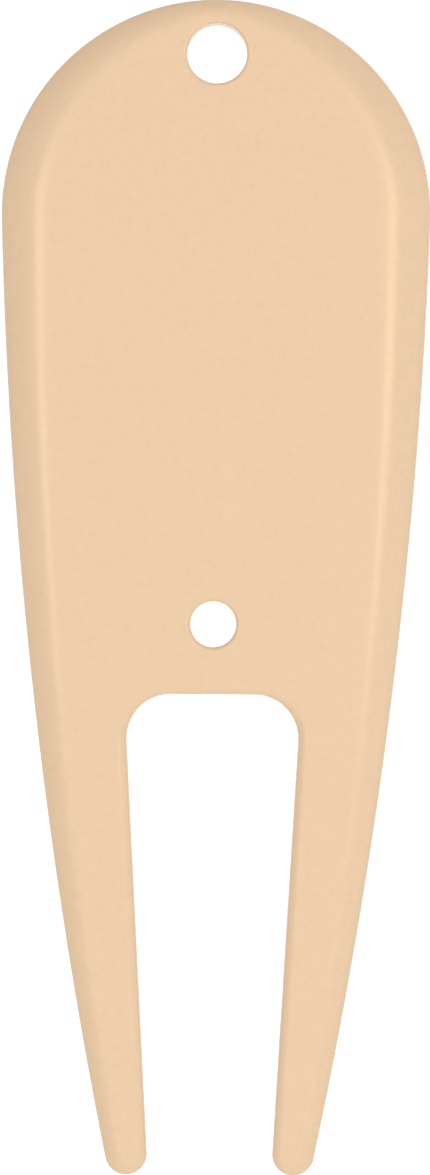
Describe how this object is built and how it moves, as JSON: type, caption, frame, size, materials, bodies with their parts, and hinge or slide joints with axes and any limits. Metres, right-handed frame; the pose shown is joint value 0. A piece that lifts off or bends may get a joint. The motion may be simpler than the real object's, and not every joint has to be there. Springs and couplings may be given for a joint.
{
  "type": "divot repair tool",
  "caption": "Flat one-piece moulded plastic golf divot repair tool: round head with a through hole, small lower hole, and a tapering two-pronged fork with rounded edges.",
  "frame": {"origin": "under the middle of the tool's box, on the plane of the flat back face", "axes": "+Y along the tool towards the round head, +Z out of the front face, +X across the tool to the right as seen from the front"},
  "size_m": [0.0278, 0.0762, 0.003],
  "materials": {
    "moulded_plastic": "pale tan injection-moulded plastic, satin, with a very fine even texture"
  },
  "bodies": {
    "root": {"tool_body": "moulded_plastic"}
  },
  "joints": []
}
